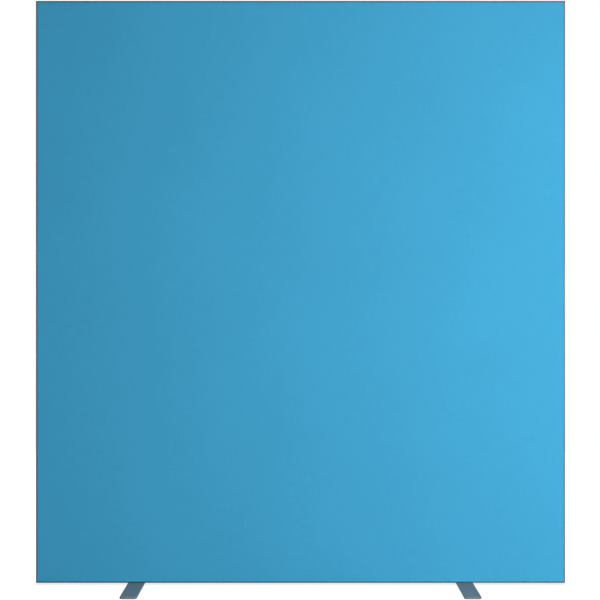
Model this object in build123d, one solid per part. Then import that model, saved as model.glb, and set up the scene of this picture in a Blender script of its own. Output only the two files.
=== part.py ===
from build123d import *
import os

# A free-standing partition screen for an office. A mitred aluminium frame holds a stretched fabric cover
# in each face: the cover's edge carries a flat silicone strip, the keder, which is pushed into a groove
# behind the frame's thin lip. Felt boards and fleece lie between the covers. Two steel uprights tie the
# bottom rail to the top rail, and each one stands on a flat steel foot that two countersunk bolts hold
# from below. X runs along the screen, Y through it with the front at -Y, and Z up from the floor.
# Sizes are millimetres.

# The screen as a whole
screen_width = 1600.0
panel_height = 1760.0
foot_inset = 303.0  # from the screen's end to the middle of a foot

# The frame's extrusion, measured inward from its outer face and across the screen
profile_depth = 34.0
outer_wall = 3.0  # also the lip that shows round the fabric
lip_round = 0.5
groove_wall = 1.5
spine_depth = 9.0  # the chamber between the two grooves, wide enough for a foot's bolts to pass
fabric_seat_drop = 1.2  # from the lip's face down to the edge that the fabric bears on
chamber_width = 18.5
chamber_wall = 1.5
slot_clearance = 0.4  # on each side of a foot's bolt, which passes through the slot

# The soft layers
fabric_thickness = 0.8
fabric_bend = 0.5  # inside the fold over the groove's edge
fabric_side_clearance = 0.1
keder_thickness = 2.2
keder_barb = 0.15
keder_barb_height = 1.2
keder_barb_count = 3
keder_clearance = 0.15
keder_end_clearance = 0.3
board_thickness = 5.5
board_clearance = 0.3
infill_clearance = 0.3

# The corner pieces inside the mitres
corner_fit = 0.2
cleat_arm = 60.0
cleat_wall = 3.0
cleat_chamfer = 3.0
cleat_screw_inset = 14.0
cleat_screw_web = 12.0
mitre_angle_arm = 50.0

# The cleats' set screws
set_screw_diameter = 6.0
set_screw_recess = 2.5  # below the slot's lips
set_screw_socket = 3.0
set_screw_socket_depth = 3.5

# The steel uprights, a tube welded to an end plate at each end
upright_width = 40.0
upright_wall = 1.5
upright_corner_round = 2.5
end_plate_thickness = 3.0
end_plate_reach = 25.0  # on each side of the tube
end_plate_screw_reach = 13.0  # from the tube's side to the screw
anchor_height = 15.0  # the threaded block welded into the tube's lower end

# The hexagon-headed screws and the nuts that hold the upper end plates in the top rail's slot
rail_screw_diameter = 5.0
rail_screw_head_width = 8.0  # across the flats
rail_screw_head_height = 3.5
rail_screw_tip = 1.0  # shows past the nut
slot_nut_length = 14.0
slot_nut_thickness = 4.0

# The feet, their pads and their bolts
foot_length = 400.0
foot_width = 50.0
foot_thickness = 5.0
foot_corner_radius = 9.0
foot_edge_chamfer = 0.8
pad_length = 55.0
pad_side_margin = 9.0
pad_end_margin = 18.0
pad_thickness = 1.0
pad_corner_radius = 7.0
bolt_diameter = 8.0
bolt_pitch = 20.0
bolt_head_share = 0.8  # of the foot's thickness
bolt_head_sink = 0.2
bolt_socket = 5.0
bolt_socket_depth_share = 0.6  # of the head's height
spacer_length = 60.0

# Clearances and cutting
hole_clearance = 0.3
thread_clearance = 0.05
overrun = 5.0

# Places that follow from the sizes, all measured inward from the frame's outer face
keder_out = outer_wall + fabric_side_clearance + fabric_thickness
keder_in = keder_out + keder_thickness + keder_barb
groove_in = keder_in + keder_clearance
chamber_out = groove_in + groove_wall
chamber_in = chamber_out + chamber_width
profile_width = chamber_in + chamber_wall

cleat_screw_x = chamber_in + cleat_screw_inset  # from the frame's outer corner, along either arm

# Places across the screen, measured from its middle plane
lip_face = profile_depth / 2
fabric_seat = lip_face - fabric_seat_drop
fabric_face = fabric_seat + fabric_thickness
groove_floor = spine_depth / 2 + groove_wall
board_outer = fabric_seat - board_clearance
board_inner = board_outer - board_thickness
box_depth = 2 * board_inner
chamber_depth = box_depth - 2 * chamber_wall
slot_width = bolt_diameter + 2 * slot_clearance

# Places in the screen's own frame
panel_bottom = pad_thickness + foot_thickness
panel_top = panel_bottom + panel_height
panel_middle = panel_bottom + panel_height / 2
screen_half = screen_width / 2
foot_places = {"left": -screen_half + foot_inset, "right": screen_half - foot_inset}
window_bottom = panel_bottom + profile_width
window_top = panel_top - profile_width
window_half = screen_half - profile_width


def block(x_from, x_to, y_from, y_to, z_from, z_to):
    """A rectangular block between two opposite corners."""
    centre = ((x_from + x_to) / 2, (y_from + y_to) / 2, (z_from + z_to) / 2)
    return Pos(*centre) * Box(abs(x_to - x_from), abs(y_to - y_from), abs(z_to - z_from))


def patch(across_from, across_to, inward_from, inward_to):
    """A rectangle of the extrusion's section, across the screen and inward."""
    centre = ((across_from + across_to) / 2, (inward_from + inward_to) / 2)
    return Pos(*centre) * Rectangle(abs(across_to - across_from), abs(inward_to - inward_from))


def hexagon(across_flats, depth):
    """A hexagonal prism that starts at the origin and runs down -Z."""
    return extrude(RegularPolygon(across_flats / 2, 6, major_radius=False), -depth)


def upward(radius, z_from, z_to, x=0.0, y=0.0):
    """A round bar or bore that stands between two heights."""
    return Pos(x, y, (z_from + z_to) / 2) * Cylinder(radius, z_to - z_from)


# The frame

def frame_section():
    """The extrusion's section: lip, two grooves, the spine between them, and a slotted box chamber."""
    section = patch(-lip_face, lip_face, 0, profile_width)
    section = fillet(section.vertices().sort_by(Axis.Y)[:2], lip_round)
    section -= patch(-spine_depth / 2, spine_depth / 2, outer_wall, groove_in)
    section -= patch(-chamber_depth / 2, chamber_depth / 2, chamber_out, chamber_in)
    section -= patch(-slot_width / 2, slot_width / 2, chamber_in, profile_width + overrun)
    for face in (-1, 1):
        beyond = face * (lip_face + overrun)
        section -= patch(face * groove_floor, beyond, outer_wall, groove_in)
        section -= patch(face * fabric_seat, beyond, outer_wall, profile_width + overrun)
        section -= patch(face * box_depth / 2, beyond, chamber_out, profile_width + overrun)
    return section


def frame_member(length):
    """One mitred length of the extrusion along X, its outer face on Z = 0 and its inside towards +Z."""
    long_half = length / 2
    short_half = long_half - profile_width
    mitre = Polyline(
        (-long_half, 0),
        (long_half, 0),
        (short_half, profile_width),
        (-short_half, profile_width),
        close=True,
    )
    bar = extrude(Plane.YZ * frame_section(), long_half, both=True)
    return bar & extrude(Plane.XZ * make_face(mitre), lip_face, both=True)


def bottom_rail():
    """The rail that the feet are bolted to, drilled for their bolts."""
    rail = Pos(0, 0, panel_bottom) * frame_member(screen_width)
    radius = bolt_diameter / 2 + hole_clearance
    for place in foot_places.values():
        for x in bolt_places(place):
            rail -= upward(radius, panel_bottom - overrun, window_bottom + overrun, x)
    return rail


def frame():
    stile = frame_member(panel_height)
    return {
        "frame_bottom_rail": bottom_rail(),
        "frame_top_rail": Pos(0, 0, panel_top) * Rot(0, 180, 0) * frame_member(screen_width),
        "frame_left_stile": Pos(-screen_half, 0, panel_middle) * Rot(0, 90, 0) * stile,
        "frame_right_stile": Pos(screen_half, 0, panel_middle) * Rot(0, -90, 0) * stile,
    }


# The corner pieces, made for the lower left corner with the frame's outer corner at the origin

corner_places = {
    "bottom_left": Pos(-screen_half, 0, panel_bottom),
    "top_left": Pos(-screen_half, 0, panel_top) * Rot(0, 90, 0),
    "top_right": Pos(screen_half, 0, panel_top) * Rot(0, 180, 0),
    "bottom_right": Pos(screen_half, 0, panel_bottom) * Rot(0, 270, 0),
}
corner_diagonal = Plane(origin=(0, 0, 0), z_dir=(1, 0, -1))


def both_arms(piece):
    """A feature of the arm along X together with its twin on the arm along Z."""
    return [piece, mirror(piece, about=corner_diagonal)]


def angle_outline(outer, inner, arm):
    """An L in the screen's plane, lying between two depths inward from both outer faces."""
    end = outer + arm
    corner = Polyline(
        (outer, outer),
        (end, outer),
        (end, inner),
        (inner, inner),
        (inner, end),
        (outer, end),
        close=True,
    )
    return make_face(corner)


def corner_cleat():
    """The cleat that draws a mitre together: a length of L extrusion with three pockets through it."""
    outer = chamber_out + corner_fit
    inner = chamber_in - corner_fit
    half = chamber_depth / 2 - corner_fit
    outline = angle_outline(outer, inner, cleat_arm)
    outline = chamfer(outline.vertices().sort_by_distance((0, 0, 0))[0], cleat_chamfer)
    cleat = extrude(Plane.XZ * outline, half, both=True)
    low, high = outer + cleat_wall, inner - cleat_wall
    through = half + overrun
    start, stop = cleat_screw_x + cleat_screw_web / 2, outer + cleat_arm - cleat_wall
    pocket = block(start, stop, -through, through, low, high)
    hole = upward(set_screw_diameter / 2 + thread_clearance, 0, profile_width, cleat_screw_x)
    cleat -= block(low, high, -through, through, low, high)
    for cut in both_arms(pocket) + both_arms(hole):
        cleat -= cut
    return cleat


def set_screw():
    """A cleat's set screw, bearing on the chamber's far wall, with its socket towards the slot."""
    top = chamber_in - set_screw_recess
    screw = upward(set_screw_diameter / 2, chamber_out, top, cleat_screw_x)
    return screw - Pos(cleat_screw_x, 0, top) * hexagon(set_screw_socket, set_screw_socket_depth)


def mitre_angle():
    """A thin angle in the spine's chamber that keeps the two mitred ends level."""
    outline = angle_outline(outer_wall + corner_fit, groove_in - corner_fit, mitre_angle_arm)
    return extrude(Plane.XZ * outline, spine_depth / 2 - corner_fit, both=True)


def corners():
    cleat, angle, screws = corner_cleat(), mitre_angle(), both_arms(set_screw())
    pieces = {}
    for corner, place in corner_places.items():
        pieces[f"corner_cleat_{corner}"] = place * cleat
        pieces[f"mitre_angle_{corner}"] = place * angle
    placed = [place * screw for place in corner_places.values() for screw in screws]
    pieces["cleat_screws"] = Compound(children=placed)
    return pieces


# The uprights

def bolt_places(foot_x):
    """Where along the screen a foot's two bolts stand."""
    return [foot_x - bolt_pitch / 2, foot_x + bolt_pitch / 2]


def rail_screw_places(foot_x):
    """Where along the screen the two screws of an upright's upper end plate stand."""
    reach = upright_width / 2 + end_plate_screw_reach
    return [foot_x - reach, foot_x + reach]


def upright(foot_x):
    """A tube with an end plate welded on at each end and a tapped block welded into its foot."""
    half_depth = box_depth / 2
    half_width = upright_width / 2
    plate_half = half_width + end_plate_reach
    tube_bottom = window_bottom + end_plate_thickness
    tube_top = window_top - end_plate_thickness
    anchor_top = tube_bottom + anchor_height
    inner_x, inner_y = half_width - upright_wall, half_depth - upright_wall
    tube = block(-half_width, half_width, -half_depth, half_depth, tube_bottom, tube_top)
    tube = fillet(tube.edges().filter_by(Axis.Z), upright_corner_round)
    made = tube - block(-inner_x, inner_x, -inner_y, inner_y, anchor_top, tube_top)
    made += block(-plate_half, plate_half, -half_depth, half_depth, window_bottom, tube_bottom)
    made += block(-plate_half, plate_half, -half_depth, half_depth, tube_top, window_top)
    screw_hole = rail_screw_diameter / 2 + hole_clearance
    for x in rail_screw_places(0):
        made -= upward(screw_hole, tube_top - overrun, window_top + overrun, x)
    thread = bolt_diameter / 2 + thread_clearance
    for x in bolt_places(0):
        made -= upward(thread, window_bottom - overrun, anchor_top + overrun, x)
    return Pos(foot_x, 0, 0) * made


def rail_screw():
    """An end plate's screw, its head's seat on Z = 0 and its shank up +Z."""
    shank_length = end_plate_thickness + chamber_wall + slot_nut_thickness + rail_screw_tip
    shank = upward(rail_screw_diameter / 2, 0, shank_length)
    return shank + hexagon(rail_screw_head_width, rail_screw_head_height)


def slot_nut():
    """A flat nut that slides in a rail's chamber, its lower face on Z = 0."""
    half_length = slot_nut_length / 2
    half_depth = chamber_depth / 2 - corner_fit
    thread = rail_screw_diameter / 2 + thread_clearance
    nut = block(-half_length, half_length, -half_depth, half_depth, 0, slot_nut_thickness)
    return nut - upward(thread, -overrun, slot_nut_thickness + overrun)


def upright_fasteners():
    """The screws and slot nuts that hold both uprights' upper end plates to the top rail."""
    places = [x for foot_x in foot_places.values() for x in rail_screw_places(foot_x)]
    screws = [Pos(x, 0, window_top - end_plate_thickness) * rail_screw() for x in places]
    nuts = [Pos(x, 0, window_top + chamber_wall) * slot_nut() for x in places]
    return {"rail_screws": Compound(children=screws), "slot_nuts": Compound(children=nuts)}


# The feet

def foot(foot_x):
    """A flat steel bar across the screen, countersunk from below for its two bolts."""
    half_width, half_length = foot_width / 2, foot_length / 2
    bar = block(-half_width, half_width, -half_length, half_length, pad_thickness, panel_bottom)
    bar = fillet(bar.edges().filter_by(Axis.Z), foot_corner_radius)
    upper_rim = bar.faces().sort_by(Axis.Z)[-1].edges()
    bar = chamfer(upper_rim, foot_edge_chamfer)
    shank = bolt_diameter / 2 + hole_clearance
    sink = foot_thickness * bolt_head_share
    for x in bolt_places(0):
        bar -= upward(shank, 0, panel_bottom + overrun, x)
        bar -= Pos(x, 0, pad_thickness + sink / 2) * Cone(shank + sink, shank, sink)
    return Pos(foot_x, 0, 0) * bar


def foot_bolt():
    """A countersunk socket bolt, upright with its head at the foot's underside."""
    radius = bolt_diameter / 2
    head_height = foot_thickness * bolt_head_share - bolt_head_sink
    head_bottom = pad_thickness + bolt_head_sink
    bolt_top = window_bottom + end_plate_thickness + anchor_height
    half_profile = Polyline(
        (0, head_bottom),
        (radius + head_height, head_bottom),
        (radius, head_bottom + head_height),
        (radius, bolt_top),
        (0, bolt_top),
        close=True,
    )
    bolt = revolve(Plane.XZ * make_face(half_profile), Axis.Z)
    return bolt - Pos(0, 0, head_bottom) * hexagon(bolt_socket, -head_height * bolt_socket_depth_share)


def foot_pads(foot_x):
    """The two stick-on pads, one near each end, that keep a foot off the floor."""
    half_width = foot_width / 2 - pad_side_margin
    far = foot_length / 2 - pad_end_margin
    near = far - pad_length
    pads = []
    for end in (-1, 1):
        pad = block(-half_width, half_width, end * near, end * far, 0, pad_thickness)
        pads.append(Pos(foot_x, 0, 0) * fillet(pad.edges().filter_by(Axis.Z), pad_corner_radius))
    return Compound(children=pads)


def rail_spacer(foot_x):
    """A drilled block in the bottom rail's chamber that takes the pull of a foot's bolts."""
    half_length, half_depth = spacer_length / 2, chamber_depth / 2 - corner_fit
    low, high = panel_bottom + chamber_out, panel_bottom + chamber_in
    spacer = block(-half_length, half_length, -half_depth, half_depth, low, high)
    for x in bolt_places(0):
        spacer -= upward(bolt_diameter / 2 + hole_clearance, low - overrun, high + overrun, x)
    return Pos(foot_x, 0, 0) * spacer


def supports():
    pieces = {}
    for side, foot_x in foot_places.items():
        pieces[f"foot_{side}"] = foot(foot_x)
        pieces[f"foot_pads_{side}"] = foot_pads(foot_x)
        pieces[f"rail_spacer_{side}"] = rail_spacer(foot_x)
        pieces[f"upright_{side}"] = upright(foot_x)
    places = [x for foot_x in foot_places.values() for x in bolt_places(foot_x)]
    pieces["foot_bolts"] = Compound(children=[Pos(x, 0, 0) * foot_bolt() for x in places])
    return {**pieces, **upright_fasteners()}


# The soft layers

def infill(x_from, x_to, upright_on_left, upright_on_right):
    """A fleece slab between two members, notched round the uprights' end plates and screw heads."""
    half_depth = box_depth / 2 - infill_clearance
    left = x_from + infill_clearance
    right = x_to - infill_clearance
    slab = block(left, right, -half_depth, half_depth, window_bottom, window_top)
    notch_width = end_plate_reach + infill_clearance
    low = window_bottom + end_plate_thickness + infill_clearance
    high = window_top - end_plate_thickness - rail_screw_head_height - infill_clearance
    through = half_depth + overrun
    for beside, start, stop in (
        (upright_on_left, x_from, x_from + notch_width),
        (upright_on_right, x_to - notch_width, x_to),
    ):
        if beside:
            slab -= block(start, stop, -through, through, window_bottom, low)
            slab -= block(start, stop, -through, through, high, window_top)
    return slab


def infills():
    half = upright_width / 2
    left, right = foot_places["left"], foot_places["right"]
    return {
        "infill_left": infill(-window_half, left - half, False, True),
        "infill_centre": infill(left + half, right - half, True, True),
        "infill_right": infill(right + half, window_half, True, False),
    }


def felt_board(face):
    """A felt board on the frame's box, level with the edge that the fabric bears on."""
    half_width = screen_half - chamber_out - board_clearance
    low = panel_bottom + chamber_out + board_clearance
    high = panel_top - chamber_out - board_clearance
    return block(-half_width, half_width, face * board_inner, face * board_outer, low, high)


def fabric_cover(face):
    """A stretched cover: a flat sheet whose edges turn down into the frame's groove on all four sides."""
    rim = outer_wall + fabric_side_clearance
    half_width = screen_half - rim
    edge = groove_floor + keder_end_clearance
    outer = block(
        -half_width, half_width, face * edge, face * fabric_face, panel_bottom + rim, panel_top - rim
    )
    outer = fillet(cover_bend_edges(outer, face), fabric_bend + fabric_thickness)
    inset = rim + fabric_thickness
    half_inner = screen_half - inset
    inner = block(
        -half_inner,
        half_inner,
        face * (edge - overrun),
        face * fabric_seat,
        panel_bottom + inset,
        panel_top - inset,
    )
    inner = fillet(cover_bend_edges(inner, face), fabric_bend)
    return outer - inner


def cover_bend_edges(body, face):
    """The four edges round a cover's face, where the fabric bends into the groove."""
    return body.faces().sort_by(Axis.Y)[-1 if face > 0 else 0].edges()


def keder_section(face):
    """The section across the screen and inward, with small barbs against the groove's inner wall."""
    low = groove_floor + keder_end_clearance
    high = fabric_seat - fabric_bend
    flat = keder_out + keder_thickness
    section = patch(face * low, face * high, keder_out, flat)
    pitch = (high - low) / (keder_barb_count + 1)
    for n in range(keder_barb_count):
        middle = low + pitch * (n + 1)
        barb_low, barb_high = middle - keder_barb_height / 2, middle + keder_barb_height / 2
        section += patch(face * barb_low, face * barb_high, flat, keder_in)
    return section


def keder_strip(face, length):
    """One straight strip along X, placed like a frame member with its outer side towards Z = 0."""
    return extrude(Plane.YZ * keder_section(face), length / 2, both=True)


def keders():
    """Four strips in each face: the upper and lower ones run right across, the side ones fit between."""
    across_run = screen_width - 2 * keder_out
    side_run = panel_height - 2 * (keder_in + keder_end_clearance)
    pieces = {}
    for name, face in (("front", -1), ("rear", 1)):
        across = keder_strip(face, across_run)
        side = keder_strip(face, side_run)
        pieces[f"keder_{name}_bottom"] = Pos(0, 0, panel_bottom) * across
        pieces[f"keder_{name}_top"] = Pos(0, 0, panel_top) * Rot(0, 180, 0) * across
        pieces[f"keder_{name}_left"] = Pos(-screen_half, 0, panel_middle) * Rot(0, 90, 0) * side
        pieces[f"keder_{name}_right"] = Pos(screen_half, 0, panel_middle) * Rot(0, -90, 0) * side
    return pieces


def soft_layers():
    return {
        **infills(),
        "felt_board_front": felt_board(-1),
        "felt_board_rear": felt_board(1),
        "fabric_cover_front": fabric_cover(-1),
        "fabric_cover_rear": fabric_cover(1),
        **keders(),
    }


os.makedirs("parts", exist_ok=True)
nodes = {**frame(), **corners(), **supports(), **soft_layers()}
for name, shape in nodes.items():
    export_step(shape, f"parts/{name}.step")
print(f"{len(nodes)} pieces, {screen_width:.0f} wide and {panel_top:.0f} high")
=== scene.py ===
"""A free-standing office partition screen: stretched fabric covers, coated frame, feet, bolts and pads."""

import math

import bpy
from bpy.props import FloatProperty, FloatVectorProperty, IntProperty, PointerProperty
from bpy.types import Operator, Panel, PropertyGroup
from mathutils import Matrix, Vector


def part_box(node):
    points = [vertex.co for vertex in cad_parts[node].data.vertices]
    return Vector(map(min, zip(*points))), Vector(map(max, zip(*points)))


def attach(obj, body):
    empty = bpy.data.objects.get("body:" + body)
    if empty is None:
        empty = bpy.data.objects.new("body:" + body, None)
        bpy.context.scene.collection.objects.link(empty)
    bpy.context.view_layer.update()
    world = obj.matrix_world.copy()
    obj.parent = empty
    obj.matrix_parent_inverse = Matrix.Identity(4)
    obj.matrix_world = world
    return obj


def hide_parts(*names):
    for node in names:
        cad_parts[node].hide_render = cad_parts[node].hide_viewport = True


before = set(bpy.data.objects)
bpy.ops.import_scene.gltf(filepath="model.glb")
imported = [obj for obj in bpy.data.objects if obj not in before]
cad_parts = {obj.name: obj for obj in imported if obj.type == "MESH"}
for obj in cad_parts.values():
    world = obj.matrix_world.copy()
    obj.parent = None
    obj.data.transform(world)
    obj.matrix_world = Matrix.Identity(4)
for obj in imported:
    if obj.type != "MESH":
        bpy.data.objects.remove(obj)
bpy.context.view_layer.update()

bl_info = {
    "name": "Partition screen",
    "version": (1, 0, 0),
    "blender": (4, 5, 0),
    "location": "View3D > Sidebar > Screen",
    "description": "Dresses a free-standing fabric partition screen and sets its studio",
    "category": "Object",
}

MM = 0.001


def linear(code):
    """An sRGB hex colour as linear RGBA."""
    values = [int(code[i:i + 2], 16) / 255 for i in (1, 3, 5)]
    return (*[v / 12.92 if v <= 0.04045 else ((v + 0.055) / 1.055) ** 2.4 for v in values], 1.0)


def shade(colour, factor):
    """A linear colour made lighter or darker by a factor."""
    return (*[min(1.0, c * factor) for c in colour[:3]], 1.0)


def box(node):
    """A CAD node's lowest and highest corners at rest."""
    low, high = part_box(node)
    return Vector(low), Vector(high)


# Sizes that the frame gives

COVER_LOW, COVER_HIGH = box("fabric_cover_front")
RAIL_LOW, RAIL_HIGH = box("frame_bottom_rail")
TOP_HIGH = box("frame_top_rail")[1]
FOOT_LOW, FOOT_HIGH = box("foot_right")
PADS_LOW, PADS_HIGH = box("foot_pads_right")
BOLTS_LOW, BOLTS_HIGH = box("foot_bolts")
FOOT_X = (FOOT_LOW.x + FOOT_HIGH.x) / 2
MIDDLE_Z = (RAIL_LOW.z + TOP_HIGH.z) / 2


# Settings


class ScreenFabric(PropertyGroup):
    """The stretched covers."""

    colour: FloatVectorProperty(
        name="Fabric colour",
        description="Dyed colour of the polyester yarn",
        subtype="COLOR",
        size=4,
        min=0.0,
        max=1.0,
        default=linear("#3D9EC8"),
    )
    thread_pitch: FloatProperty(
        name="Thread pitch",
        description="Distance from one yarn to the next in the weave",
        unit="LENGTH",
        default=0.9 * MM,
        min=0.2 * MM,
    )
    thickness: FloatProperty(
        name="Cloth thickness",
        description="Thickness of the cloth",
        unit="LENGTH",
        default=0.8 * MM,
        min=0.2 * MM,
    )
    fold_radius: FloatProperty(
        name="Fold radius",
        description="Outer radius where the cloth turns down into the frame's groove",
        unit="LENGTH",
        default=1.3 * MM,
        min=0.5 * MM,
    )
    slack: FloatProperty(
        name="Slack",
        description="How far the stretched cloth dips between its edges",
        unit="LENGTH",
        default=0.2 * MM,
        min=0.0,
    )
    edge_zone: FloatProperty(
        name="Edge zone",
        description="Width of the strip along each edge where the cloth is pulled quite flat",
        unit="LENGTH",
        default=60 * MM,
        min=5 * MM,
    )


class ScreenMetal(PropertyGroup):
    """The coated frame and feet, and the plated bolts."""

    frame_colour_with_painted_shade: FloatVectorProperty(
        name="Frame coat",
        description="Colour of the frame's powder coat",
        subtype="COLOR",
        size=4,
        min=0.0,
        max=1.0,
        # Darker than the feet's coat: partly the coat's own slate, partly painted shade for the thin lip and
        # the shaded slit beside it.
        default=linear("#2E3E49"),
    )
    foot_colour: FloatVectorProperty(
        name="Foot coat",
        description="Colour of the feet's powder coat",
        subtype="COLOR",
        size=4,
        min=0.0,
        max=1.0,
        default=linear("#61686E"),
    )
    coat_grain: FloatProperty(
        name="Coat grain",
        description="Size of the fine dimples in the powder coat",
        unit="LENGTH",
        default=0.9 * MM,
        min=0.1 * MM,
    )
    mitre_line: FloatProperty(
        name="Mitre line",
        description="Width of the hairline where two mitred ends meet",
        unit="LENGTH",
        default=0.35 * MM,
        min=0.05 * MM,
    )
    bolt_diameter: FloatProperty(
        name="Bolt diameter",
        description="Diameter over the thread of the bolts in the feet",
        unit="LENGTH",
        default=8 * MM,
        min=2 * MM,
    )
    bolt_pitch: FloatProperty(
        name="Bolt spacing",
        description="Distance between a foot's two bolts",
        unit="LENGTH",
        default=20 * MM,
        min=10 * MM,
    )
    bolt_head_height: FloatProperty(
        name="Bolt head height",
        description="Height of the countersunk head",
        unit="LENGTH",
        default=3.8 * MM,
        min=1 * MM,
    )
    bolt_socket: FloatProperty(
        name="Bolt socket",
        description="Width across the flats of the hexagonal socket",
        unit="LENGTH",
        default=5 * MM,
        min=1 * MM,
    )
    bolt_socket_depth: FloatProperty(
        name="Bolt socket depth",
        description="Depth of the hexagonal socket",
        unit="LENGTH",
        default=2.4 * MM,
        min=0.5 * MM,
    )
    thread_pitch: FloatProperty(
        name="Thread pitch",
        description="Distance from one thread crest to the next",
        unit="LENGTH",
        default=1.25 * MM,
        min=0.25 * MM,
    )
    thread_depth: FloatProperty(
        name="Thread depth",
        description="Depth of the thread's grooves",
        unit="LENGTH",
        default=0.6 * MM,
        min=0.1 * MM,
    )


class ScreenPads(PropertyGroup):
    """The moulded pads under the feet."""

    colour: FloatVectorProperty(
        name="Pad colour",
        description="Colour of the moulded rubber",
        subtype="COLOR",
        size=4,
        min=0.0,
        max=1.0,
        default=linear("#26282A"),
    )
    length: FloatProperty(
        name="Pad length",
        description="Length of one pad along its foot",
        unit="LENGTH",
        default=55 * MM,
        min=10 * MM,
    )
    corner_radius: FloatProperty(
        name="Pad corner radius",
        description="Radius of a pad's four corners",
        unit="LENGTH",
        default=7 * MM,
        min=1 * MM,
    )
    rib_radius: FloatProperty(
        name="Rib radius",
        description="Radius of the round ribs that a pad stands on",
        unit="LENGTH",
        default=0.4 * MM,
        min=0.1 * MM,
    )
    rib_count: IntProperty(
        name="Ribs",
        description="Number of ribs across each pad",
        default=15,
        min=2,
    )


class ScreenStudio(PropertyGroup):
    """The camera, the floor and the lights."""

    camera_distance: FloatProperty(
        name="Camera distance",
        description="Distance from the camera to the front of the fabric",
        unit="LENGTH",
        default=3.75,
        min=0.5,
    )
    camera_height: FloatProperty(
        name="Camera height",
        description="Height of the camera above the floor",
        unit="LENGTH",
        default=0.8615,
        min=0.0,
    )
    camera_side: FloatProperty(
        name="Camera side step",
        description="How far the camera stands to the right of the screen's middle",
        unit="LENGTH",
        default=-1.48 * MM,
    )
    lens_per_metre: FloatProperty(
        name="Lens per metre",
        description="Focal length in millimetres for each metre of camera distance",
        default=19.8375,
        min=1.0,
    )
    key_power: FloatProperty(
        name="Key light power",
        description="Power of each large soft light beside the screen",
        unit="POWER",
        default=150.0,
        min=0.0,
    )
    fill_power: FloatProperty(
        name="Fill light power",
        description="Power of each broad weak light that faces the screen",
        unit="POWER",
        default=5.0,
        min=0.0,
    )
    overhead_power: FloatProperty(
        name="Overhead light power",
        description="Power of the high light over the screen",
        unit="POWER",
        default=1200.0,
        min=0.0,
    )
    ambient: FloatProperty(
        name="Ambient",
        description="Strength of the even light from all round",
        default=0.06,
        min=0.0,
    )
    floor_radius: FloatProperty(
        name="Floor radius",
        description="Radius of the round floor",
        unit="LENGTH",
        default=3.6,
        min=2.0,
    )


# Nodes

# A mix node's sockets share their names between kinds of value, so those for colours go by number.
COLOUR_A, COLOUR_B, MIXED_COLOUR = 6, 7, 2


def add(tree, kind, inputs=(), out=0, **settings):
    """Adds a node with its settings, fills its inputs with values or links, and returns one of its outputs.

    The inputs are in the node's own order, or in a dict by name or number.
    """
    node = tree.nodes.new(kind)
    for name, value in settings.items():
        setattr(node, name, value)
    for key, value in inputs.items() if isinstance(inputs, dict) else enumerate(inputs):
        if isinstance(value, bpy.types.NodeSocket):
            tree.links.new(value, node.inputs[key])
        else:
            node.inputs[key].default_value = value
    return node.outputs[out] if node.outputs else None


# Materials

# Most of a noise texture's values lie in this range.
NOISE_RANGE = {"From Min": 0.3, "From Max": 0.7}


def new_material(name):
    """An empty material and its tree."""
    material = bpy.data.materials.new(name)
    material.use_nodes = True
    material.node_tree.nodes.clear()
    return material, material.node_tree


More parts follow.
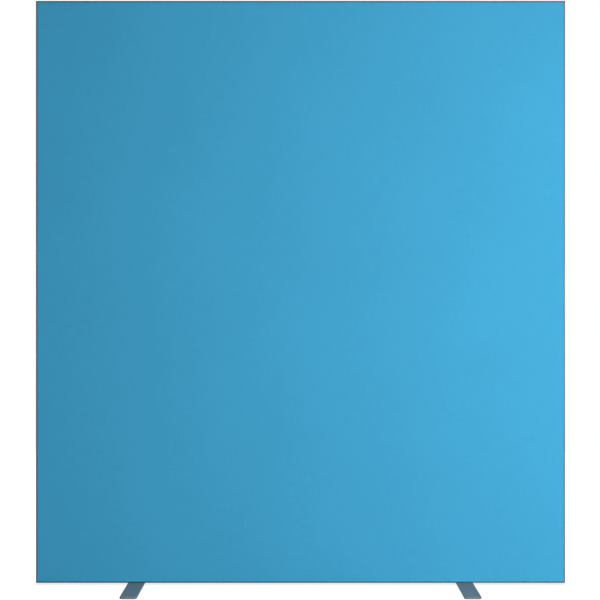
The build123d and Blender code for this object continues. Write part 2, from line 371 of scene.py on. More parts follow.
def woven_polyester(fabric):
    """Plain-woven polyester, dyed in the piece: matt and even, with crowned yarns that pass over and under.

    The yarns have their real pitch, so they show only close up. From a step away the cloth reads as an even
    blue with faint streaks where the yarn took the dye unevenly. Real streaks are one yarn wide, too fine to
    show in the render, so they are drawn three yarns wide. A quarter of the colour's swing follows the yarns'
    height: painted light on the crowns and painted shade between them.
    """
    material, tree = new_material("woven_polyester")
    pitch = fabric.thread_pitch
    turnover = 0.2
    streak_width = 3 * pitch
    along_a_yarn = 0.06
    cloud_width = 350 * MM
    # The crown share is painted light on the yarns' crowns and painted shade between them; the spread widens
    # dye and painted shade alike.
    cloud_share, painted_crown_light_share, dye_and_shade_spread = 0.3, 0.25, 0.22
    place = add(tree, "ShaderNodeUVMap", uv_map="weave")

    # Half a wave to a yarn each way. Where both waves have one sign, the upright yarn lies on top, and the
    # two change places while the product of the waves is within the turnover.
    split = add(tree, "ShaderNodeSeparateXYZ", (place,)).node
    waves = []
    for axis in (0, 1):
        angle = add(tree, "ShaderNodeMath", (split.outputs[axis], math.pi / pitch), operation="MULTIPLY")
        waves.append(add(tree, "ShaderNodeMath", (angle,), operation="SINE"))
    crossing = add(tree, "ShaderNodeMath", waves, operation="MULTIPLY")
    change = {"Value": crossing, "From Min": -turnover, "From Max": turnover}
    upright_on_top = add(tree, "ShaderNodeMapRange", change)
    crown, level_crown = [add(tree, "ShaderNodeMath", (wave,), operation="ABSOLUTE") for wave in waves]
    height = add(tree, "ShaderNodeMix", {"Factor": upright_on_top, "A": level_crown, "B": crown})

    streaks = []
    for squeeze in ((1.0, along_a_yarn, 1.0), (along_a_yarn, 1.0, 1.0)):
        stretched = add(tree, "ShaderNodeMapping", {"Vector": place, "Scale": squeeze})
        streak = {"Vector": stretched, "Scale": 1 / streak_width, "Detail": 1.0}
        streaks.append(add(tree, "ShaderNodeTexNoise", streak))
    upright_streak, level_streak = streaks
    yarn = add(tree, "ShaderNodeMix", {"Factor": upright_on_top, "A": level_streak, "B": upright_streak})
    cloud = add(tree, "ShaderNodeTexNoise", {"Vector": place, "Scale": 1 / cloud_width, "Detail": 3.0})
    dye = add(tree, "ShaderNodeMix", {"Factor": cloud_share, "A": yarn, "B": cloud})
    # A quarter of the tone is the yarns' height: painted light on the crowns and painted shade in the hollows
    # between them. The rest is the real uneven dye.
    tone_and_painted_relief_shade = add(tree, "ShaderNodeMix", {"Factor": painted_crown_light_share, "A": dye, "B": height})
    deep, pale = shade(fabric.colour, 1 - dye_and_shade_spread), shade(fabric.colour, 1 + dye_and_shade_spread)
    tones = {"Factor": tone_and_painted_relief_shade, COLOUR_A: deep, COLOUR_B: pale}
    surface = add(tree, "ShaderNodeBsdfPrincipled", {
        "Base Color": add(tree, "ShaderNodeMix", tones, out=MIXED_COLOUR, data_type="RGBA"),
        "Roughness": add(tree, "ShaderNodeMapRange", {"Value": height, "To Min": 0.98, "To Max": 0.89}),
        "Specular IOR Level": 0.25,
        "Sheen Weight": 0.12,
        "Sheen Roughness": 0.45,
        "Sheen Tint": linear("#EDF7FF"),
        "Normal": add(tree, "ShaderNodeBump", {"Height": height, "Distance": 0.12 * MM, "Strength": 0.6}),
    })
    add(tree, "ShaderNodeOutputMaterial", {"Surface": surface})
    return material


def mitre_mask(tree, place, width):
    """1 on the hairlines where the frame's mitred ends meet, at 45 degrees from each outer corner."""
    split = add(tree, "ShaderNodeSeparateXYZ", (place,)).node
    across = add(tree, "ShaderNodeMath", (split.outputs["X"],), operation="ABSOLUTE")
    from_side = add(tree, "ShaderNodeMath", (RAIL_HIGH.x, across), operation="SUBTRACT")
    above_middle = add(tree, "ShaderNodeMath", (split.outputs["Z"], MIDDLE_Z), operation="SUBTRACT")
    up = add(tree, "ShaderNodeMath", (above_middle,), operation="ABSOLUTE")
    from_end = add(tree, "ShaderNodeMath", (TOP_HIGH.z - MIDDLE_Z, up), operation="SUBTRACT")
    tolerance = width / 2 * math.sqrt(2)
    return add(tree, "ShaderNodeMath", (from_side, from_end, tolerance), operation="COMPARE")


def powder_coat(name, colour, grain, mitre_line=0.0):
    """Satin powder coat over metal: one even colour with fine dimples where the powder flowed together.

    Given a mitre line's width, it also sinks a hairline at the frame's corners and paints shade into it, as
    falls into the slit where the mitred ends meet.
    """
    material, tree = new_material(name)
    cloud_width = 80 * MM
    painted_dimple_shade_share, tone_and_shade_spread = 0.4, 0.12
    painted_slit_shade, line_depth_in_dimples = 0.25, 4.0
    place = add(tree, "ShaderNodeTexCoord", out="Object")
    dimples = add(tree, "ShaderNodeTexNoise", {"Vector": place, "Scale": 1 / grain, "Detail": 2.0})
    cloud = add(tree, "ShaderNodeTexNoise", {"Vector": place, "Scale": 1 / cloud_width, "Detail": 3.0})
    # Four tenths of the tone follows the dimples that the bump also raises: painted light on their rises and
    # painted shade in their hollows. The rest is a real random cloud.
    tone_and_painted_relief_shade = add(tree, "ShaderNodeMix", {"Factor": painted_dimple_shade_share, "A": cloud, "B": dimples})
    deep, pale = shade(colour, 1 - tone_and_shade_spread), shade(colour, 1 + tone_and_shade_spread)
    tones = {"Factor": tone_and_painted_relief_shade, COLOUR_A: deep, COLOUR_B: pale}
    coat = add(tree, "ShaderNodeMix", tones, out=MIXED_COLOUR, data_type="RGBA")
    height = dimples
    if mitre_line:
        # The hairline's dark colour is painted shade, as falls into the slit between two mitred ends; the
        # bump also sinks it.
        line = mitre_mask(tree, place, mitre_line)
        lined = {"Factor": line, COLOUR_A: coat, COLOUR_B: shade(colour, painted_slit_shade)}
        coat = add(tree, "ShaderNodeMix", lined, out=MIXED_COLOUR, data_type="RGBA")
        sunk = (line, -line_depth_in_dimples, dimples)
        height = add(tree, "ShaderNodeMath", sunk, operation="MULTIPLY_ADD")
    gloss = {"Value": cloud, **NOISE_RANGE, "To Min": 0.40, "To Max": 0.52}
    surface = add(tree, "ShaderNodeBsdfPrincipled", {
        "Base Color": coat,
        "Roughness": add(tree, "ShaderNodeMapRange", gloss),
        "IOR": 1.5,
        "Normal": add(tree, "ShaderNodeBump", {"Height": height, "Distance": 0.02 * MM, "Strength": 0.8}),
    })
    add(tree, "ShaderNodeOutputMaterial", {"Surface": surface})
    return material


def zinc_plate():
    """Bright zinc plate on steel, as bolts and tubes come: a cool grey metal, faintly mottled and drawn.

    Real drawing lines are under 0.1 mm wide, too fine to show, so they are drawn 0.4 mm wide.
    """
    made = bpy.data.materials.get("zinc_plated_steel")
    if made:
        return made
    material, tree = new_material("zinc_plated_steel")
    mottle_width = 4 * MM
    line_length = 3 * MM
    lines_across = 8.0
    place = add(tree, "ShaderNodeTexCoord", out="Object")
    mottle = add(tree, "ShaderNodeTexNoise", {"Vector": place, "Scale": 1 / mottle_width, "Detail": 3.0})
    drawn = add(tree, "ShaderNodeMapping", {"Vector": place, "Scale": (lines_across, lines_across, 1.0)})
    lines = add(tree, "ShaderNodeTexNoise", {"Vector": drawn, "Scale": 1 / line_length, "Detail": 2.0})
    tones = {"Factor": mottle, COLOUR_A: linear("#A9AEB4"), COLOUR_B: linear("#C6CACE")}
    gloss = {"Value": mottle, **NOISE_RANGE, "To Min": 0.28, "To Max": 0.42}
    surface = add(tree, "ShaderNodeBsdfPrincipled", {
        "Base Color": add(tree, "ShaderNodeMix", tones, out=MIXED_COLOUR, data_type="RGBA"),
        "Metallic": 1.0,
        "Roughness": add(tree, "ShaderNodeMapRange", gloss),
        "Normal": add(tree, "ShaderNodeBump", {"Height": lines, "Distance": 0.01 * MM, "Strength": 0.5}),
    })
    add(tree, "ShaderNodeOutputMaterial", {"Surface": surface})
    return material


def mill_aluminium():
    """Extruded aluminium left as it comes off the press: pale, with fine lines along the length."""
    material, tree = new_material("mill_aluminium")
    line_length = 6 * MM
    lines_across = 30.0
    cloud_width = 12 * MM
    place = add(tree, "ShaderNodeTexCoord", out="Object")
    pressed = add(tree, "ShaderNodeMapping", {"Vector": place, "Scale": (1.0, lines_across, 1.0)})
    lines = add(tree, "ShaderNodeTexNoise", {"Vector": pressed, "Scale": 1 / line_length, "Detail": 2.0})
    cloud = add(tree, "ShaderNodeTexNoise", {"Vector": place, "Scale": 1 / cloud_width, "Detail": 3.0})
    tones = {"Factor": cloud, COLOUR_A: linear("#BDBFC2"), COLOUR_B: linear("#D3D5D7")}
    gloss = {"Value": cloud, **NOISE_RANGE, "To Min": 0.33, "To Max": 0.43}
    surface = add(tree, "ShaderNodeBsdfPrincipled", {
        "Base Color": add(tree, "ShaderNodeMix", tones, out=MIXED_COLOUR, data_type="RGBA"),
        "Metallic": 1.0,
        "Roughness": add(tree, "ShaderNodeMapRange", gloss),
        "Normal": add(tree, "ShaderNodeBump", {"Height": lines, "Distance": 0.01 * MM, "Strength": 0.6}),
    })
    add(tree, "ShaderNodeOutputMaterial", {"Surface": surface})
    return material


def moulded_rubber(colour):
    """Moulded rubber: near black and matt, with a fine sparked texture from its mould and a little dust.

    Real pits are about 0.1 mm wide, too fine to show, so they are drawn 0.6 mm wide.
    """
    material, tree = new_material("moulded_rubber")
    spark_pit = 0.6 * MM
    dust_patch = 9 * MM
    place = add(tree, "ShaderNodeTexCoord", out="Object")
    pits = add(tree, "ShaderNodeTexNoise", {"Vector": place, "Scale": 1 / spark_pit, "Detail": 3.0})
    dust = add(tree, "ShaderNodeTexNoise", {"Vector": place, "Scale": 1 / dust_patch, "Detail": 4.0})
    clean, dusty = shade(colour, 0.8), shade(colour, 1.5)
    tones = {"Factor": dust, COLOUR_A: clean, COLOUR_B: dusty}
    gloss = {"Value": dust, **NOISE_RANGE, "To Min": 0.70, "To Max": 0.86}
    surface = add(tree, "ShaderNodeBsdfPrincipled", {
        "Base Color": add(tree, "ShaderNodeMix", tones, out=MIXED_COLOUR, data_type="RGBA"),
        "Roughness": add(tree, "ShaderNodeMapRange", gloss),
        "Normal": add(tree, "ShaderNodeBump", {"Height": pits, "Distance": 0.03 * MM, "Strength": 0.7}),
    })
    add(tree, "ShaderNodeOutputMaterial", {"Surface": surface})
    return material


def extruded_silicone():
    """Extruded silicone: milky grey and softly shining, with a little of the light passing into it.

    Its die leaves it smooth, so it has no bump.
    """
    material, tree = new_material("extruded_silicone")
    cloud_width = 20 * MM
    place = add(tree, "ShaderNodeTexCoord", out="Object")
    cloud = add(tree, "ShaderNodeTexNoise", {"Vector": place, "Scale": 1 / cloud_width, "Detail": 2.0})
    tones = {"Factor": cloud, COLOUR_A: linear("#B4B8BA"), COLOUR_B: linear("#C8CCCD")}
    gloss = {"Value": cloud, **NOISE_RANGE, "To Min": 0.31, "To Max": 0.41}
    surface = add(tree, "ShaderNodeBsdfPrincipled", {
        "Base Color": add(tree, "ShaderNodeMix", tones, out=MIXED_COLOUR, data_type="RGBA"),
        "Roughness": add(tree, "ShaderNodeMapRange", gloss),
        "IOR": 1.41,
        "Subsurface Weight": 0.25,
        "Subsurface Scale": 2 * MM,
    })
    add(tree, "ShaderNodeOutputMaterial", {"Surface": surface})
    return material


def needled_felt():
    """Needled polyester felt pressed to a board: mid grey, from short crossing fibres of mixed greys.

    Single fibres are too fine to show, so they are drawn as tufts, 2.4 mm long and a seventh as wide.
    """
    material, tree = new_material("needled_felt")
    tuft_length = 2.4 * MM
    tufts_across = 7.0
    place = add(tree, "ShaderNodeTexCoord", out="Object")
    tufts = []
    for squeeze in ((1.0, 1.0, tufts_across), (tufts_across, 1.0, 1.0)):
        laid = add(tree, "ShaderNodeMapping", {"Vector": place, "Scale": squeeze})
        tuft = {"Vector": laid, "Scale": 1 / tuft_length, "Detail": 3.0}
        tufts.append(add(tree, "ShaderNodeTexNoise", tuft))
    crossed = add(tree, "ShaderNodeMath", tufts, operation="MAXIMUM")
    tones = {"Factor": crossed, COLOUR_A: linear("#6C7073"), COLOUR_B: linear("#B2B5B6")}
    surface = add(tree, "ShaderNodeBsdfPrincipled", {
        "Base Color": add(tree, "ShaderNodeMix", tones, out=MIXED_COLOUR, data_type="RGBA"),
        "Roughness": add(tree, "ShaderNodeMapRange", {"Value": crossed, "To Min": 1.0, "To Max": 0.92}),
        "Specular IOR Level": 0.2,
        "Sheen Weight": 0.3,
        "Normal": add(tree, "ShaderNodeBump", {"Height": crossed, "Distance": 0.3 * MM, "Strength": 0.8}),
    })
    add(tree, "ShaderNodeOutputMaterial", {"Surface": surface})
    return material


def polyester_fleece():
    """Bonded polyester fleece: off-white, cloudy and open, with no shine."""
    material, tree = new_material("polyester_fleece")
    wisp_width = 6 * MM
    place = add(tree, "ShaderNodeTexCoord", out="Object")
    ragged = {"Vector": place, "Scale": 1 / wisp_width, "Detail": 5.0, "Roughness": 0.7}
    wisps = add(tree, "ShaderNodeTexNoise", ragged)
    tones = {"Factor": wisps, COLOUR_A: linear("#CFCBC1"), COLOUR_B: linear("#F0EEE8")}
    surface = add(tree, "ShaderNodeBsdfPrincipled", {
        "Base Color": add(tree, "ShaderNodeMix", tones, out=MIXED_COLOUR, data_type="RGBA"),
        "Roughness": add(tree, "ShaderNodeMapRange", {"Value": wisps, "To Min": 1.0, "To Max": 0.94}),
        "Specular IOR Level": 0.1,
        "Normal": add(tree, "ShaderNodeBump", {"Height": wisps, "Distance": 1.0 * MM, "Strength": 0.8}),
    })
    add(tree, "ShaderNodeOutputMaterial", {"Surface": surface})
    return material


def dress(material, *starts):
    """Gives a material to the CAD nodes whose names start with the given words."""
    for name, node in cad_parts.items():
        if name.startswith(starts):
            for slot in node.material_slots:
                slot.material = material


# Meshes

# Steps of a cover's mesh from its middle: over the flat face, its edge zone, the fold and the tuck.
COVER_STEPS = (36, 10, 8, 3)

# A second map, of this name, lays the cloth out flat.
EXPORT_MAP = "OFBake"


def baked(source):
    """A plain mesh of an object with its modifiers applied; the object itself goes."""
    bpy.context.view_layer.update()
    graph = bpy.context.evaluated_depsgraph_get()
    mesh = bpy.data.meshes.new_from_object(source.evaluated_get(graph), depsgraph=graph)
    first_mesh = source.data
    bpy.data.objects.remove(source)
    bpy.data.meshes.remove(first_mesh)
    return mesh


def finished(mesh, name, material, smooth_below):
    """Puts a mesh into the scene as a piece of the screen's one body, smooth below an angle in degrees."""
    mesh.name = name
    mesh.materials.clear()
    mesh.materials.append(material)
    mesh.shade_smooth()
    mesh.set_sharp_from_angle(angle=math.radians(smooth_below))
    piece = bpy.data.objects.new(name, mesh)
    bpy.context.scene.collection.objects.link(piece)
    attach(piece, "root")
    return piece


def steps(start, stop, count):
    """Evenly spaced values after the first, up to the last."""
    return [start + (stop - start) * n / count for n in range(1, count + 1)]


def cover_lines(flat_half, fold_length, tuck, edge_zone):
    """Distances from a cover's middle line, over the flat face, round the fold and down into the groove."""
    marks = (0.0, flat_half - edge_zone, flat_half, flat_half + fold_length, flat_half + fold_length + tuck)
    half = []
    for start, stop, count in zip(marks, marks[1:], COVER_STEPS):
        half += steps(start, stop, count)
    return [-v for v in reversed(half)] + [0.0] + half


def cover_point(u, v, flat, radius, fold_length):
    """Where the cloth's point (u, v) lies: across, up, and how far back from the cover's face."""
    past_u, past_v = max(0.0, abs(u) - flat[0]), max(0.0, abs(v) - flat[1])
    past = max(past_u, past_v)
    if past == 0:
        return u, v, 0.0

    # Round a corner the fold's direction turns evenly from across to up.
    angle = math.pi / 4 * (past_v / past_u if past_u >= past_v else 2 - past_u / past_v)
    bend = min(past, fold_length) / radius
    out = radius * math.sin(bend)
    back = radius * (1 - math.cos(bend)) + max(0.0, past - fold_length)
    across = math.copysign(min(abs(u), flat[0]) + out * math.cos(angle), u)
    up = math.copysign(min(abs(v), flat[1]) + out * math.sin(angle), v)
    return across, up, back


def slack_at(u, v, flat, fabric):
    """How far the cloth dips at a point: nothing at the edges, and a slow uneven swell between them."""
    inside = min(flat[0] - abs(u), flat[1] - abs(v)) / fabric.edge_zone
    hold = min(1.0, max(0.0, inside))
    crossed_waves = math.sin(5.1 * u + 1.3) * math.sin(4.3 * v + 0.4)
    slanting_wave = math.sin(2.3 * u - 3.7 * v)
    swell = 0.5 + 0.25 * crossed_waves + 0.25 * slanting_wave
    return fabric.slack * swell * hold * hold * (3 - 2 * hold)


def cover_mesh(fabric, face):
    """One layer of a stretched cover's cloth, for the front (-1) or the rear (1), and its flat size."""
    half = ((COVER_HIGH.x - COVER_LOW.x) / 2, (COVER_HIGH.z - COVER_LOW.z) / 2)
    middle = (COVER_LOW.z + COVER_HIGH.z) / 2
    face_depth, hem_depth = abs(COVER_LOW.y), abs(COVER_HIGH.y)
    radius = fabric.fold_radius
    fold_length = radius * math.pi / 2
    tuck = face_depth - hem_depth - radius
    flat = (half[0] - radius, half[1] - radius)
    across_lines = cover_lines(flat[0], fold_length, tuck, fabric.edge_zone)
    up_lines = cover_lines(flat[1], fold_length, tuck, fabric.edge_zone)
    points, layout = [], []
    for v in up_lines:
        for u in across_lines:
            across, up, back = cover_point(u, v, flat, radius, fold_length)
            depth = face_depth - back - slack_at(u, v, flat, fabric)
            points.append((-face * across, face * depth, middle + up))
            layout.append((u, v))
    wide = len(across_lines)
    faces = []
    for row in range(len(up_lines) - 1):
        for column in range(wide - 1):
            first = row * wide + column
            faces.append((first, first + 1, first + wide + 1, first + wide))
    mesh = bpy.data.meshes.new("cover_cloth")
    mesh.from_pydata(points, [], faces)
    size = (2 * across_lines[-1], 2 * up_lines[-1])
    weave = mesh.uv_layers.new(name="weave")
    sheet = mesh.uv_layers.new(name=EXPORT_MAP)
    for loop in mesh.loops:
        u, v = layout[loop.vertex_index]
        weave.data[loop.index].uv = (u, v)
        sheet.data[loop.index].uv = (u / size[0] + 0.5, v / size[1] + 0.5)
    return mesh, size


def fabric_cover(fabric, side, face, material):
    """One cover: the cloth given its thickness, in place of its CAD solid."""
    mesh, flat_size = cover_mesh(fabric, face)
    source = bpy.data.objects.new("cover_source", mesh)
    bpy.context.scene.collection.objects.link(source)
    wall = source.modifiers.new("wall", "SOLIDIFY")
    wall.thickness = fabric.thickness
    wall.offset = -1.0
    wall.use_even_offset = True
    piece = finished(baked(source), f"{side}_cover_cloth", material, smooth_below=50)
    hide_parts(f"fabric_cover_{side}")


# Geometry node trees

BOLT_SIDES = 36
CORNER_POINTS = 10

# With 14 sides, no corner of a rib lies in the plane of its pad's underside.
RIB_SIDES = 14

# Points nearer to each other than this are one.
SAME_POINT = 0.001 * MM

SOCKETS = {
    float: "NodeSocketFloat",
    int: "NodeSocketInt",
    bpy.types.Material: "NodeSocketMaterial",
}


def new_tree(name, inputs):
    """A geometry tree with named inputs, and the sockets that give them."""
    tree = bpy.data.node_groups.new(name, "GeometryNodeTree")
    for label, kind in inputs.items():
        tree.interface.new_socket(label, in_out="INPUT", socket_type=SOCKETS[kind])
    tree.interface.new_socket("Geometry", in_out="OUTPUT", socket_type="NodeSocketGeometry")
    given = tree.nodes.new("NodeGroupInput")
    return tree, {label: given.outputs[label] for label in inputs}


def end_tree(tree, geometry, material):
    """Realises the copies, sets the material and ends the tree."""
    real = add(tree, "GeometryNodeRealizeInstances", (geometry,))
    dressed = add(tree, "GeometryNodeSetMaterial", {"Geometry": real, "Material": material})
    add(tree, "NodeGroupOutput", (dressed,))


def grown(tree, values):
    """A plain mesh grown by a tree, with its inputs set by their identifiers."""
    source = bpy.data.objects.new(tree.name, bpy.data.meshes.new(tree.name))
    bpy.context.scene.collection.objects.link(source)
    growth = source.modifiers.new(tree.name, "NODES")
    growth.node_group = tree
    for item in tree.interface.items_tree:
        if item.in_out == "INPUT":
            growth[item.identifier] = values[item.name]
    return baked(source)


def places_under_feet(tree, foot_place, along_x, along_y):
    """Four points: a pair under each foot, apart by twice along_x or along_y."""
    lines = []
    for x, y in ((along_x, along_y), (foot_place, 0.0)):
        ends = []
        for sign in (-1.0, 1.0):
            parts = [add(tree, "ShaderNodeMath", (value, sign), operation="MULTIPLY") for value in (x, y)]
            ends.append(add(tree, "ShaderNodeCombineXYZ", parts))
        lines.append(add(
            tree,
            "GeometryNodeMeshLine",
            {"Count": 2, "Start Location": ends[0], "Offset": ends[1]},
            mode="END_POINTS",
        ))
    pair, feet = lines
    pairs = add(tree, "GeometryNodeInstanceOnPoints", {"Points": feet, "Instance": pair})
    return add(tree, "GeometryNodeRealizeInstances", (pairs,))


def bolt_tree():
    """Countersunk bolts with hexagonal sockets and threads, a pair through each foot.

    A bolt is one surface turned round a line of points. The first is the head's face, and then crests and
    roots of the thread take turns up to the tip.
    """
    tree, given = new_tree("foot_bolts", {
        "Foot place": float,
        "Half spacing": float,
        "Head bottom": float,
        "Head height": float,
        "Head radius": float,
        "Crest radius": float,
        "Root radius": float,
        "Shank top": float,
        "Thread count": int,
        "Socket": float,
        "Socket depth": float,
        "Material": bpy.types.Material,
    })
    head_top = add(tree, "ShaderNodeMath", (given["Head bottom"], given["Head height"]), operation="ADD")
    shank = add(tree, "ShaderNodeMath", (given["Shank top"], head_top), operation="SUBTRACT")

    # A thread has two flanks. The first starts at a crest under the head and the last ends at a root.
    flanks = add(tree, "ShaderNodeMath", (given["Thread count"], 2.0, -1.0), operation="MULTIPLY_ADD")
    flank = add(tree, "ShaderNodeMath", (shank, flanks), operation="DIVIDE")
    points = add(tree, "ShaderNodeMath", (flanks, 2.0), operation="ADD")

    index = add(tree, "GeometryNodeInputIndex")
    is_head = add(tree, "ShaderNodeMath", (index, 0.5), operation="LESS_THAN")
    past_head = add(tree, "ShaderNodeMath", (index, 1.0), operation="SUBTRACT")
    on_shank = add(tree, "ShaderNodeMath", (past_head, flank, head_top), operation="MULTIPLY_ADD")
    height = add(tree, "ShaderNodeMix", {"Factor": is_head, "A": on_shank, "B": given["Head bottom"]})
    is_crest = add(tree, "ShaderNodeMath", (index, 2.0), operation="MODULO")
    thread = {"Factor": is_crest, "A": given["Root radius"], "B": given["Crest radius"]}
    thread_radius = add(tree, "ShaderNodeMix", thread)
    radius = add(tree, "ShaderNodeMix", {"Factor": is_head, "A": thread_radius, "B": given["Head radius"]})

    line = add(tree, "GeometryNodeMeshLine", {"Count": points})
    upright = add(tree, "ShaderNodeCombineXYZ", {"Z": height})
    placed = add(tree, "GeometryNodeSetPosition", {"Geometry": line, "Position": upright})
    ring = add(tree, "GeometryNodeCurvePrimitiveCircle", {"Resolution": BOLT_SIDES, "Radius": 1.0})
    turned = add(tree, "GeometryNodeCurveToMesh", {
        "Curve": add(tree, "GeometryNodeMeshToCurve", (placed,)),
        "Profile Curve": ring,
        "Scale": radius,
        "Fill Caps": True,
    })

    # The socket's radius at a corner is its width across flats over root 3. Half of the cutter stands proud.
    cutter = add(tree, "GeometryNodeMeshCylinder", {
        "Vertices": 6,
        "Radius": add(tree, "ShaderNodeMath", (given["Socket"], math.sqrt(3)), operation="DIVIDE"),
        "Depth": add(tree, "ShaderNodeMath", (given["Socket depth"], 2.0), operation="MULTIPLY"),
    })
    at_face = add(tree, "ShaderNodeCombineXYZ", {"Z": given["Head bottom"]})
    socket = add(tree, "GeometryNodeTransform", {"Geometry": cutter, "Translation": at_face})
    bolt = add(tree, "GeometryNodeMeshBoolean", (turned, socket), operation="DIFFERENCE")
    places = places_under_feet(tree, given["Foot place"], given["Half spacing"], 0.0)
    bolts = add(tree, "GeometryNodeInstanceOnPoints", {"Points": places, "Instance": bolt})
    end_tree(tree, bolts, given["Material"])
    return tree


def pad_tree():
    """Round-cornered pads that stand on round ribs, a pair under each foot."""
    tree, given = new_tree("foot_pads", {
        "Foot place": float,
        "Pad place": float,
        "Length": float,
        "Width": float,
        "Corner radius": float,
        "Height": float,
        "Rib radius": float,
        "Rib length": float,
        "Rib reach": float,
        "Rib count": int,
        "Material": bpy.types.Material,
    })
    outline = add(tree, "GeometryNodeCurvePrimitiveQuadrilateral", {
        "Width": given["Width"],
        "Height": given["Length"],
    })
    rounding = {
        "Curve": outline,
        "Radius": given["Corner radius"],
        "Count": CORNER_POINTS,
        "Limit Radius": True,
    }
    rounded = add(tree, "GeometryNodeFilletCurve", rounding, mode="POLY")
    under = add(tree, "GeometryNodeFillCurve", {"Curve": rounded}, mode="NGONS")
    thickness = add(tree, "ShaderNodeMath", (given["Height"], given["Rib radius"]), operation="SUBTRACT")
    walls = add(tree, "GeometryNodeExtrudeMesh", {
        "Mesh": under,
        "Offset": (0.0, 0.0, 1.0),
        "Offset Scale": thickness,
        "Individual": False,
    })
    shell = add(tree, "GeometryNodeJoinGeometry")
    for part in (walls, add(tree, "GeometryNodeFlipFaces", (under,))):
        tree.links.new(part, shell.node.inputs[0])
    closed = add(tree, "GeometryNodeMergeByDistance", {"Geometry": shell, "Distance": SAME_POINT})
    lift = add(tree, "ShaderNodeCombineXYZ", {"Z": given["Rib radius"]})
    slab = add(tree, "GeometryNodeTransform", {"Geometry": closed, "Translation": lift})
    bar = add(tree, "GeometryNodeMeshCylinder", {
        "Vertices": RIB_SIDES,
        "Radius": given["Rib radius"],
        "Depth": given["Rib length"],
    })
    laid = {"Geometry": bar, "Translation": lift, "Rotation": (0.0, math.pi / 2, 0.0)}
    rib = add(tree, "GeometryNodeTransform", laid)
    back = add(tree, "ShaderNodeMath", (given["Rib reach"], -1.0), operation="MULTIPLY")
    row = add(
        tree,
        "GeometryNodeMeshLine",
        {
            "Count": given["Rib count"],
            "Start Location": add(tree, "ShaderNodeCombineXYZ", {"Y": back}),
            "Offset": add(tree, "ShaderNodeCombineXYZ", {"Y": given["Rib reach"]}),
        },
        mode="END_POINTS",
    )
    ribs = add(tree, "GeometryNodeInstanceOnPoints", {"Points": row, "Instance": rib})
    real_ribs = add(tree, "GeometryNodeRealizeInstances", (ribs,))
    pad = add(tree, "GeometryNodeMeshBoolean", {"Mesh 2": slab}, operation="UNION")
    tree.links.new(real_ribs, pad.node.inputs["Mesh 2"])
    places = places_under_feet(tree, given["Foot place"], 0.0, given["Pad place"])
    pads = add(tree, "GeometryNodeInstanceOnPoints", {"Points": places, "Instance": pad})
    end_tree(tree, pads, given["Material"])
    return tree


# Studio

FLOOR_SIDES = 96
SENSOR_WIDTH = 36.0

# Places and sizes of the lights at the rear face. Those at the front are the same, turned half round.
KEY_PLACE, KEY_SIZE = (-2.2, 3.1, 1.0), 1.4
FILL_PLACE, FILL_SIZE = (0.6, 4.6, 1.8), 2.6
OVERHEAD_PLACE, OVERHEAD_SIZE = (0.0, 0.0, 14.0), 5.0


def seen_directly(tree):
    """1 for rays from the camera and for those that a mirror or glass passes on."""
    path = add(tree, "ShaderNodeLightPath").node
    passed_on = (path.outputs["Is Glossy Ray"], path.outputs["Is Transmission Ray"])
    sharp = add(tree, "ShaderNodeMath", passed_on, operation="MAXIMUM")
    return add(tree, "ShaderNodeMath", (path.outputs["Is Camera Ray"], sharp), operation="MAXIMUM")


def set_world(scene, studio):
    """White to the eye, and an even soft light on the screen."""
    world = bpy.data.worlds.new("studio")
    world.use_nodes = True
    tree = world.node_tree
    tree.nodes.clear()
    strength = add(tree, "ShaderNodeMix", {"Factor": seen_directly(tree), "A": studio.ambient, "B": 1.0})
    back = add(tree, "ShaderNodeBackground", (linear("#FFFFFF"), strength))
    add(tree, "ShaderNodeOutputWorld", {"Surface": back})
    scene.world = world


def studio_floor():
    """A pale matt floor, white to the eye but for the screen's soft shadow, and clear from below."""
    material, tree = new_material("studio_floor")
    matt = add(tree, "ShaderNodeBsdfDiffuse", (linear("#959595"),))
    shaded = add(tree, "ShaderNodeBsdfDiffuse", (linear("#BCBCBC"),))
    glow = add(tree, "ShaderNodeEmission", (linear("#FFFFFF"), 0.8))
    white = add(tree, "ShaderNodeAddShader", (shaded, glow))
    upper = add(tree, "ShaderNodeMixShader", (seen_directly(tree), matt, white))
    from_below = add(tree, "ShaderNodeNewGeometry", out="Backfacing")
    both = add(tree, "ShaderNodeMixShader", (from_below, upper, add(tree, "ShaderNodeBsdfTransparent")))
    add(tree, "ShaderNodeOutputMaterial", {"Surface": both})
    return material


def set_floor(scene, studio):
    """A plain round floor."""
    turns = [math.tau * n / FLOOR_SIDES for n in range(FLOOR_SIDES)]
    rim = [(studio.floor_radius * math.cos(a), studio.floor_radius * math.sin(a), 0.0) for a in turns]
    mesh = bpy.data.meshes.new("floor")
    mesh.from_pydata(rim, [], [range(FLOOR_SIDES)])
    mesh.materials.append(studio_floor())
    floor = bpy.data.objects.new("floor", mesh)
    scene.collection.objects.link(floor)
    return floor


def soft_light(scene, name, place, size, power):
    """A square area light that faces the middle of the screen."""
    data = bpy.data.lights.new(name, "AREA")
    data.shape = "SQUARE"
    data.size = size
    data.energy = power
    light = bpy.data.objects.new(name, data)
    light.location = place
    way = Vector((0.0, 0.0, MIDDLE_Z)) - Vector(place)
    light.rotation_euler = way.to_track_quat("-Z", "Y").to_euler()
    scene.collection.objects.link(light)
    return light


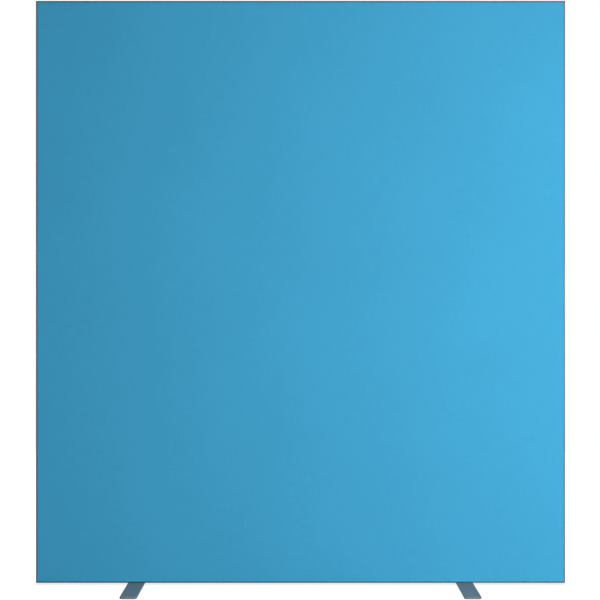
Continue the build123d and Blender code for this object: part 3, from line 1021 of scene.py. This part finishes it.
def set_lights(scene, studio, floor):
    """A soft light at the right of each face, which makes the fabric paler there, a weak fill and a high one.

    The lights that stand near the floor pass it by, so that it doesn't glare beside them.
    """
    passed_by = bpy.data.collections.new("passed_by")
    passed_by.objects.link(floor)
    passed_by.collection_objects[0].light_linking.link_state = "EXCLUDE"
    beside = (
        ("key", KEY_PLACE, KEY_SIZE, studio.key_power),
        ("fill", FILL_PLACE, FILL_SIZE, studio.fill_power),
    )
    for side, face in (("front", -1), ("rear", 1)):
        for name, (x, y, z), size, power in beside:
            light = soft_light(scene, f"{side}_{name}", (x * face, y * face, z), size, power)
            light.light_linking.receiver_collection = passed_by
    soft_light(scene, "overhead", OVERHEAD_PLACE, OVERHEAD_SIZE, studio.overhead_power)


def set_camera(scene, studio):
    """The photograph's camera: square on, level, a little below the screen's middle."""
    data = bpy.data.cameras.new("camera")
    data.sensor_width = SENSOR_WIDTH
    data.lens = studio.lens_per_metre * studio.camera_distance
    camera = bpy.data.objects.new("camera", data)
    camera.location = (studio.camera_side, COVER_LOW.y - studio.camera_distance, studio.camera_height)
    camera.rotation_euler = (math.pi / 2, 0.0, 0.0)
    scene.collection.objects.link(camera)
    scene.camera = camera


# Operators


class SCREEN_OT_stage(Operator):
    """Set the floor, the lights and the camera."""

    bl_idname = "screen.stage"
    bl_label = "Studio"

    def execute(self, context):
        scene = context.scene
        studio = scene.screen_studio
        scene.view_settings.view_transform = "Standard"
        set_world(scene, studio)
        set_lights(scene, studio, set_floor(scene, studio))
        set_camera(scene, studio)
        return {"FINISHED"}


class SCREEN_OT_fabric_covers(Operator):
    """Stretch a woven cover over each face of the screen."""

    bl_idname = "screen.fabric_covers"
    bl_label = "Fabric covers"

    def execute(self, context):
        fabric = context.scene.screen_fabric
        cloth = woven_polyester(fabric)
        fabric_cover(fabric, "front", -1, cloth)
        fabric_cover(fabric, "rear", 1, cloth)
        return {"FINISHED"}


class SCREEN_OT_frame_coat(Operator):
    """Powder-coat the frame's four mitred lengths."""

    bl_idname = "screen.frame_coat"
    bl_label = "Frame"

    def execute(self, context):
        metal = context.scene.screen_metal
        coat = powder_coat("frame_powder_coat", metal.frame_colour_with_painted_shade, metal.coat_grain, metal.mitre_line)
        dress(coat, "frame_")
        return {"FINISHED"}


class SCREEN_OT_feet(Operator):
    """Powder-coat the flat steel feet."""

    bl_idname = "screen.feet"
    bl_label = "Feet"

    def execute(self, context):
        metal = context.scene.screen_metal
        dress(powder_coat("foot_powder_coat", metal.foot_colour, metal.coat_grain), "foot_left", "foot_right")
        return {"FINISHED"}


class SCREEN_OT_metalwork(Operator):
    """Plate the uprights and screws inside the screen, and leave its aluminium pieces bare."""

    bl_idname = "screen.metalwork"
    bl_label = "Hidden metalwork"

    def execute(self, context):
        dress(zinc_plate(), "cleat_screws", "rail_screws", "slot_nuts", "upright_")
        dress(mill_aluminium(), "corner_cleat", "mitre_angle", "rail_spacer")
        return {"FINISHED"}


class SCREEN_OT_foot_bolts(Operator):
    """Put threaded countersunk bolts up through the feet."""

    bl_idname = "screen.foot_bolts"
    bl_label = "Foot bolts"

    def execute(self, context):
        metal = context.scene.screen_metal
        zinc = zinc_plate()
        crest = metal.bolt_diameter / 2
        shank = BOLTS_HIGH.z - BOLTS_LOW.z - metal.bolt_head_height
        mesh = grown(bolt_tree(), {
            "Foot place": FOOT_X,
            "Half spacing": metal.bolt_pitch / 2,
            "Head bottom": BOLTS_LOW.z,
            "Head height": metal.bolt_head_height,
            "Head radius": crest + metal.bolt_head_height,
            "Crest radius": crest,
            "Root radius": crest - metal.thread_depth,
            "Shank top": BOLTS_HIGH.z,
            "Thread count": round(shank / metal.thread_pitch),
            "Socket": metal.bolt_socket,
            "Socket depth": metal.bolt_socket_depth,
            "Material": zinc,
        })
        bolts = finished(mesh, "foot_bolts_threaded", zinc, smooth_below=35)
        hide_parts("foot_bolts")
        return {"FINISHED"}


class SCREEN_OT_foot_pads(Operator):
    """Put ribbed rubber pads under the feet."""

    bl_idname = "screen.foot_pads"
    bl_label = "Foot pads"

    def execute(self, context):
        pads = context.scene.screen_pads
        rubber = moulded_rubber(pads.colour)
        width = PADS_HIGH.x - PADS_LOW.x
        rib_inset = 4 * pads.rib_radius
        mesh = grown(pad_tree(), {
            "Foot place": FOOT_X,
            "Pad place": PADS_HIGH.y - pads.length / 2,
            "Length": pads.length,
            "Width": width,
            "Corner radius": pads.corner_radius,
            "Height": PADS_HIGH.z - PADS_LOW.z,
            "Rib radius": pads.rib_radius,
            "Rib length": width - 2 * rib_inset,
            "Rib reach": pads.length / 2 - pads.corner_radius,
            "Rib count": pads.rib_count,
            "Material": rubber,
        })
        piece = finished(mesh, "foot_pads_ribbed", rubber, smooth_below=35)
        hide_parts("foot_pads_left", "foot_pads_right")
        return {"FINISHED"}


class SCREEN_OT_inner_layers(Operator):
    """Dress the felt boards, the fleece and the keder strips inside the screen."""

    bl_idname = "screen.inner_layers"
    bl_label = "Inner layers"

    def execute(self, context):
        dress(needled_felt(), "felt_board")
        dress(polyester_fleece(), "infill")
        dress(extruded_silicone(), "keder")
        return {"FINISHED"}


OPERATORS = (
    SCREEN_OT_stage,
    SCREEN_OT_fabric_covers,
    SCREEN_OT_frame_coat,
    SCREEN_OT_feet,
    SCREEN_OT_metalwork,
    SCREEN_OT_foot_bolts,
    SCREEN_OT_foot_pads,
    SCREEN_OT_inner_layers,
)
SETTINGS = {
    "screen_studio": ScreenStudio,
    "screen_fabric": ScreenFabric,
    "screen_metal": ScreenMetal,
    "screen_pads": ScreenPads,
}


class SCREEN_PT_panel(Panel):
    """The screen's pieces, with their sizes and colours."""

    bl_idname = "SCREEN_PT_panel"
    bl_label = "Partition screen"
    bl_space_type = "VIEW_3D"
    bl_region_type = "UI"
    bl_category = "Screen"

    def draw(self, context):
        for operator in OPERATORS:
            self.layout.operator(operator.bl_idname)
        for name, group in SETTINGS.items():
            column = self.layout.column()
            for key in group.__annotations__:
                column.prop(getattr(context.scene, name), key)


def register():
    for name, group in SETTINGS.items():
        bpy.utils.register_class(group)
        setattr(bpy.types.Scene, name, PointerProperty(type=group))
    for cls in (*OPERATORS, SCREEN_PT_panel):
        bpy.utils.register_class(cls)


def unregister():
    for cls in (SCREEN_PT_panel, *reversed(OPERATORS)):
        bpy.utils.unregister_class(cls)
    for name, group in SETTINGS.items():
        delattr(bpy.types.Scene, name)
        bpy.utils.unregister_class(group)


def main():
    register()
    bpy.ops.screen.stage()
    bpy.ops.screen.fabric_covers()
    bpy.ops.screen.frame_coat()
    bpy.ops.screen.feet()
    bpy.ops.screen.metalwork()
    bpy.ops.screen.foot_bolts()
    bpy.ops.screen.foot_pads()
    bpy.ops.screen.inner_layers()


if __name__ == "__main__":
    main()
